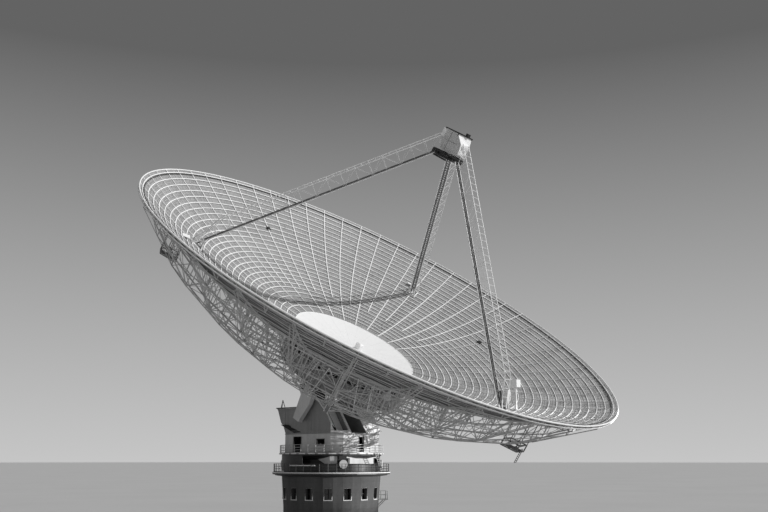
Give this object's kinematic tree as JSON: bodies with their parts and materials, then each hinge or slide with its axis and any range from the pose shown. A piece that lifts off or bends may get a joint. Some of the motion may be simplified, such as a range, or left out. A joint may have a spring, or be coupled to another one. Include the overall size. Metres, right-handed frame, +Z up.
{
  "type": "radio telescope dish on a round tower, 1:2 scale model",
  "caption": "Steerable mesh dish with a white solid centre, tripod and focus cabin, on a rotating turret above a round concrete tower with windows and railed galleries.",
  "frame": {"origin": "on the ground at the centre of the tower's base", "axes": "+Z up, +X along the tilt axis, the dish leans towards -Y at rest"},
  "size_m": [32, 26.3164, 26.8153],
  "materials": {
    "galvanized_steel": "dull galvanized and grey-painted steel bars",
    "mesh_panel": "fine metal mesh with light rails, dull",
    "white_paint": "clean white paint, satin",
    "grey_paint": "pale grey paint, weathered",
    "dark_steel": "dark greased and shaded steel",
    "grey_concrete": "smooth cast concrete, grey and lightly stained",
    "pale_concrete": "pale cast concrete",
    "window_glass": "dark glass with a dim room behind"
  },
  "bodies": {
    "tower": {"ground_floor": "pale_concrete", "first_floor": "pale_concrete", "second_floor": "pale_concrete", "lower_wall_1": "grey_concrete", "lower_wall_2": "grey_concrete", "lower_wall_3": "grey_concrete", "lower_wall_4": "grey_concrete", "upper_wall_1": "grey_concrete", "upper_wall_2": "grey_concrete", "upper_wall_3": "grey_concrete", "upper_wall_4": "grey_concrete", "window_glass_1": "window_glass", "window_glass_2": "window_glass", "window_glass_3": "window_glass", "tower_door": "dark_steel", "gallery_slab": "pale_concrete", "gallery_railing": "galvanized_steel", "azimuth_track": "dark_steel", "service_landing": "galvanized_steel"},
    "turret": {"turret_underframe": "dark_steel", "turret_deck": "grey_paint", "deck_ladder": "galvanized_steel", "deck_railing": "galvanized_steel", "housing_front": "white_paint", "housing_rear": "white_paint", "housing_left": "white_paint", "housing_right": "white_paint", "housing_roof": "white_paint", "cheek_left": "grey_paint", "cheek_right": "grey_paint", "bearing_left": "dark_steel", "bearing_right": "dark_steel", "rear_housing": "grey_paint", "roof_aerial": "galvanized_steel"},
    "roller_1": {"track_roller_1": "dark_steel"},
    "roller_2": {"track_roller_2": "dark_steel"},
    "roller_3": {"track_roller_3": "dark_steel"},
    "roller_4": {"track_roller_4": "dark_steel"},
    "dish": {"inner_frame_1": "galvanized_steel", "inner_frame_2": "galvanized_steel", "inner_frame_3": "galvanized_steel", "outer_frame_1": "galvanized_steel", "outer_frame_2": "galvanized_steel", "outer_frame_3": "galvanized_steel", "mesh_sector_1": "mesh_panel", "mesh_sector_2": "mesh_panel", "mesh_sector_3": "mesh_panel", "centre_disc": "white_paint", "rim_tube": "white_paint", "hub_drum": "grey_paint", "tilt_yoke": "dark_steel", "counterweight_left": "grey_paint", "counterweight_right": "grey_paint", "tripod_leg_1": "galvanized_steel", "tripod_leg_2": "galvanized_steel", "tripod_leg_3": "galvanized_steel", "feed_platform": "dark_steel", "focus_cabin": "white_paint", "instrument_post": "white_paint", "vertex_box": "white_paint"}
  },
  "joints": [
    {"name": "azimuth", "type": "hinge", "parent": "tower", "child": "turret", "pos_m": [0, 0, 6.1], "axis": [0, 0, 1], "range_deg": [-225, 225]},
    {"name": "elevation", "type": "hinge", "parent": "turret", "child": "dish", "pos_m": [0, 0, 11.25], "axis": [1, 0, 0], "range_deg": [-35, 25]},
    {"name": "roller_spin_1", "type": "hinge", "parent": "turret", "child": "roller_1", "pos_m": [-1.52499, -2.34828, 6.4756], "axis": [-0.5446, -0.8387, 0], "range_deg": [-2101, 2101]},
    {"name": "roller_spin_2", "type": "hinge", "parent": "turret", "child": "roller_2", "pos_m": [1.52499, -2.34828, 6.4756], "axis": [0.5446, -0.8387, 0], "range_deg": [-2101, 2101]},
    {"name": "roller_spin_3", "type": "hinge", "parent": "turret", "child": "roller_3", "pos_m": [1.52499, 2.34828, 6.4756], "axis": [0.5446, 0.8387, 0], "range_deg": [-2101, 2101]},
    {"name": "roller_spin_4", "type": "hinge", "parent": "turret", "child": "roller_4", "pos_m": [-1.52499, 2.34828, 6.4756], "axis": [-0.5446, 0.8387, 0], "range_deg": [-2101, 2101]}
  ],
  "couplings": [
    {"joint": "roller_spin_1", "follows": "azimuth", "ratio": -9.3333},
    {"joint": "roller_spin_2", "follows": "azimuth", "ratio": -9.3333},
    {"joint": "roller_spin_3", "follows": "azimuth", "ratio": -9.3333},
    {"joint": "roller_spin_4", "follows": "azimuth", "ratio": -9.3333}
  ]
}
